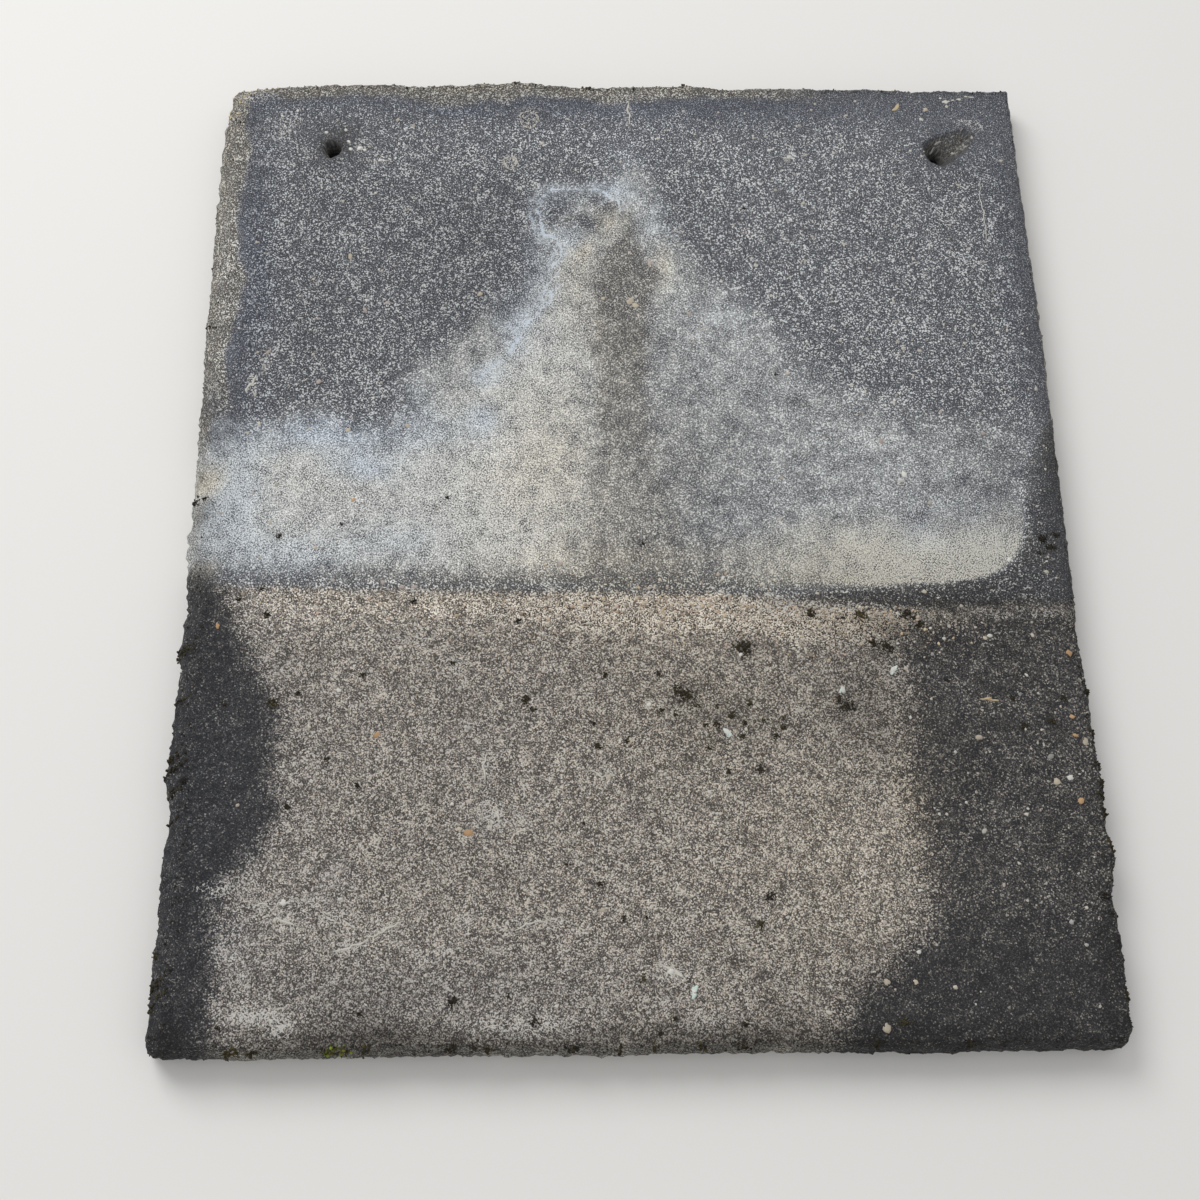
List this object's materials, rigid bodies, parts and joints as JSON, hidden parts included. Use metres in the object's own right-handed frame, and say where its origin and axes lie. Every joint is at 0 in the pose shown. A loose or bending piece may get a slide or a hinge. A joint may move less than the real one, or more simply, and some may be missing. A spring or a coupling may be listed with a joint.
{
  "type": "reconstituted stone roof tile",
  "caption": "Flat weathered roof tile cast in reconstituted stone, with splayed dressed edges and nail holes near its head, for laying in double-lap courses.",
  "frame": {"origin": "middle of the underside, between the straight lines that the edges follow", "axes": "+Y up the tile towards its head and nail holes, +X to the right seen from above, +Z out of the weathered face"},
  "size_m": [0.3846, 0.4602, 0.019],
  "materials": {
    "reconstituted_stone": "weathered cast stone, matt and gritty"
  },
  "bodies": {
    "root": {"roof_tile": "reconstituted_stone"}
  },
  "joints": []
}
